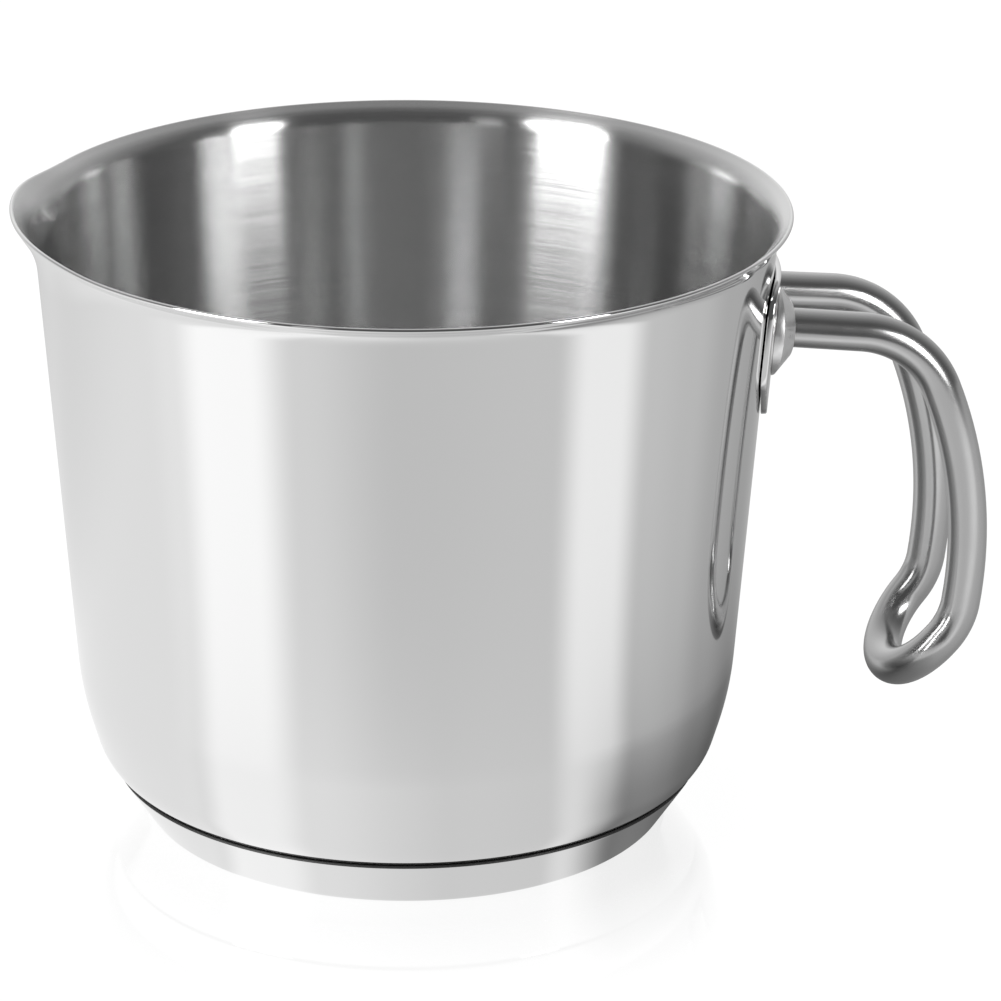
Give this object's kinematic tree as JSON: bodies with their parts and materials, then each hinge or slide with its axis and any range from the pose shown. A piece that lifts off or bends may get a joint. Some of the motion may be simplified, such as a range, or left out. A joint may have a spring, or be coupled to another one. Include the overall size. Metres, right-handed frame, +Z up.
{
  "type": "milk pan",
  "caption": "Small deep steel milk pan with a flared rim, a pressed pouring lip, a thick capsule base and a bent bar handle.",
  "frame": {"origin": "centre of the base's underside, on the pot's axis", "axes": "+Z up along the pot's axis, +X towards the handle, -X towards the pouring lip"},
  "size_m": [0.1893, 0.1478, 0.1241],
  "materials": {
    "pot_steel": "polished outside, satin brushed inside",
    "core_aluminium": "plain rolled, hidden inside the capsule",
    "capsule_steel": "polished",
    "plate_steel": "polished",
    "ferrule_steel": "satin",
    "bar_steel": "polished"
  },
  "bodies": {
    "root": {"pot_body": "pot_steel", "base_core": "core_aluminium", "base_capsule": "capsule_steel", "handle_plate": "plate_steel", "handle_ferrule": "ferrule_steel", "handle_loop": "bar_steel"}
  },
  "joints": []
}
